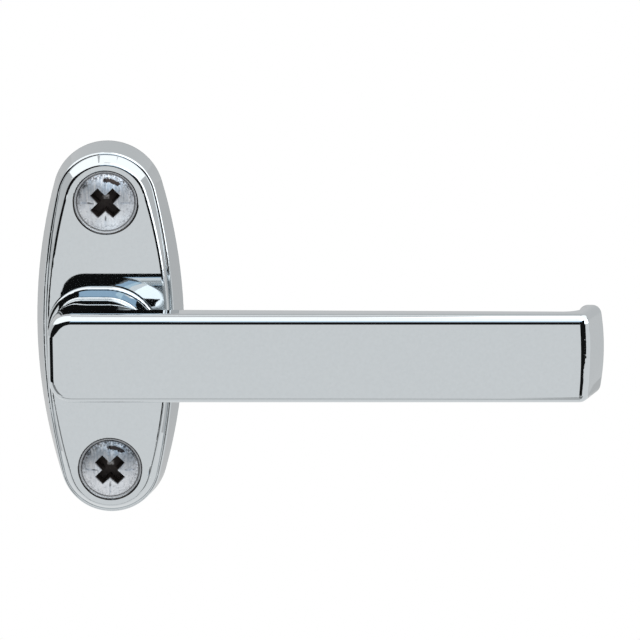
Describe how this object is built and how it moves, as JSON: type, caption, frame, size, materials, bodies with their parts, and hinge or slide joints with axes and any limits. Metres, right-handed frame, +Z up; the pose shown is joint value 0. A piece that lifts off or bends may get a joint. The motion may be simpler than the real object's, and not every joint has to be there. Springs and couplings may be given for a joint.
{
  "type": "window handle",
  "caption": "Chromed window handle: flat straight lever with a returned tip on a raised oval backplate, square spindle and countersunk fixing screws behind.",
  "frame": {"origin": "on the spindle axis at the backplate's rear face, midway between the fixing screws", "axes": "+Z up along the backplate, -Y out of the window frame into the room, +X along the lever at rest"},
  "size_m": [0.0888, 0.0536, 0.0598],
  "materials": {
    "chrome_plate": "polished chrome on die-cast zinc",
    "chrome_lever": "polished chrome on die-cast zinc",
    "bright_screw": "bright zinc-plated steel",
    "zinc_steel": "zinc-plated drawn steel",
    "spring_steel": "phosphated spring steel",
    "acetal": "natural acetal"
  },
  "bodies": {
    "plate": {"backplate": "chrome_plate", "bearing_bush": "acetal", "fixing_screws": "bright_screw"},
    "lever": {"lever": "chrome_lever", "spindle": "zinc_steel", "spindle_pin": "spring_steel", "stop_washer": "zinc_steel", "disc_spring": "spring_steel", "circlip": "spring_steel"}
  },
  "joints": [
    {"name": "lever_turn", "type": "hinge", "parent": "plate", "child": "lever", "pos_m": [0, 0, 0], "axis": [0, -1, 0], "range_deg": [-90, 90]}
  ]
}
